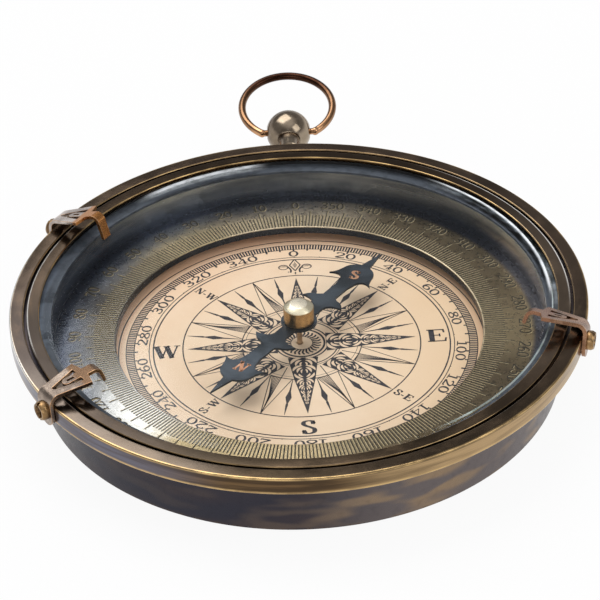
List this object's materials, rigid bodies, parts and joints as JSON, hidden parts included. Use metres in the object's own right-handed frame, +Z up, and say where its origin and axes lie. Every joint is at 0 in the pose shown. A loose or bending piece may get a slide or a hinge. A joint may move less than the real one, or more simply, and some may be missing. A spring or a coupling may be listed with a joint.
{
  "type": "magnetic compass",
  "caption": "Large round table compass: shallow brass case, bevelled glass held by rim clips, engraved degree ring, printed dial, blued needle on a pin, ball pendant with a wire bow ring.",
  "frame": {"origin": "centre of the case's flat underside, where the compass rests on a table, on the needle's axis", "axes": "+Z up through the glass along the needle's axis, +Y from the needle's axis towards the pendant and the bow ring, +X to the right as seen from above with the bow at the top"},
  "size_m": [0.126, 0.1639, 0.0235],
  "materials": {
    "case_brass": "dark patina",
    "rim_brass": "antique bronze patina with worn edges",
    "retainer_brass": "antique bronze patina with worn edges",
    "clear_glass": "polished",
    "gasket_rubber": "matte",
    "sleeve_brass": "dark patina",
    "ring_brass": "brushed, olive patina",
    "dial_paper": "printed, aged",
    "plate_brass": "plain",
    "boss_brass": "plain",
    "pin_steel": "polished, copper tint",
    "needle_steel": "blued",
    "knob_brass": "polished",
    "jewel_glass": "polished",
    "clip_copper": "copper-brown patina",
    "screw_brass": "copper-brown patina",
    "pendant_brass": "dark olive patina",
    "bow_brass": "copper-brown patina"
  },
  "bodies": {
    "case": {"case_body": "case_brass", "bezel_ring": "rim_brass", "glass_retaining_ring": "retainer_brass", "crystal_glass": "clear_glass", "glass_gasket": "gasket_rubber", "spacer_sleeve": "sleeve_brass", "chapter_ring": "ring_brass", "paper_dial": "dial_paper", "dial_plate": "plate_brass", "pivot_boss": "boss_brass", "pivot_pin": "pin_steel", "clip_left_front": "clip_copper", "clip_left_back": "clip_copper", "clip_right": "clip_copper", "clip_screw_left_front": "screw_brass", "clip_screw_left_back": "screw_brass", "clip_screw_right": "screw_brass", "pendant_stem": "pendant_brass", "pendant_ball": "pendant_brass", "pendant_finial": "pendant_brass"},
    "needle": {"needle_blade": "needle_steel", "needle_knob": "knob_brass", "needle_jewel": "jewel_glass"},
    "bow": {"bow_ring": "bow_brass"}
  },
  "joints": [
    {"name": "needle_spin", "type": "hinge", "parent": "case", "child": "needle", "pos_m": [0, 0, 0.01], "axis": [0, 0, 1], "continuous": true},
    {"name": "bow_hinge", "type": "hinge", "parent": "case", "child": "bow", "pos_m": [0, 0.07982, 0.011], "axis": [1, 0, 0], "range_deg": [-179, 137]}
  ]
}
